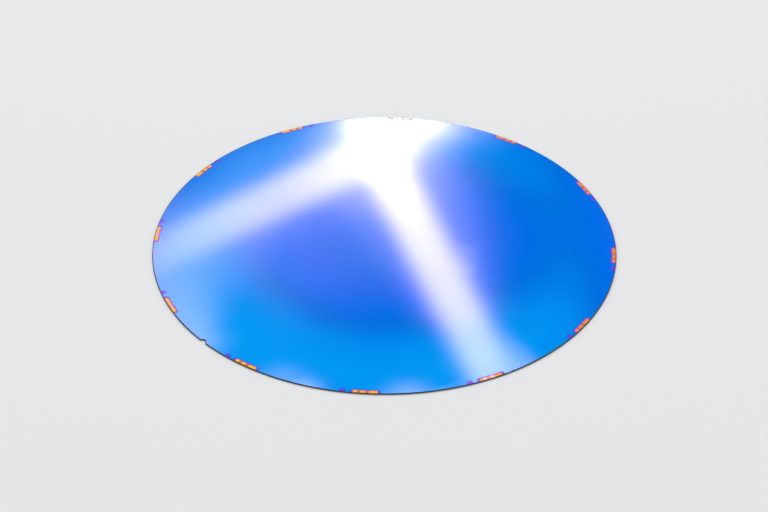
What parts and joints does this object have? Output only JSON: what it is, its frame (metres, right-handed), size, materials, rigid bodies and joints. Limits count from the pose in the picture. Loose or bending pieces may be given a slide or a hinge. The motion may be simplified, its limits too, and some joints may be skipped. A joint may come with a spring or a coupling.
{
  "type": "silicon wafer",
  "caption": "Thin round semiconductor disc, mirror-polished, with a ground edge, an alignment notch and a blue thin-film coating on its front face.",
  "frame": {"origin": "centre of the back face", "axes": "+Z is the wafer's axis, pointing out of the coated front face; the notch is on -Y"},
  "size_m": [0.2, 0.2, 0.0007],
  "materials": {
    "coated_silicon": "polished"
  },
  "bodies": {
    "root": {"wafer": "coated_silicon"}
  },
  "joints": []
}
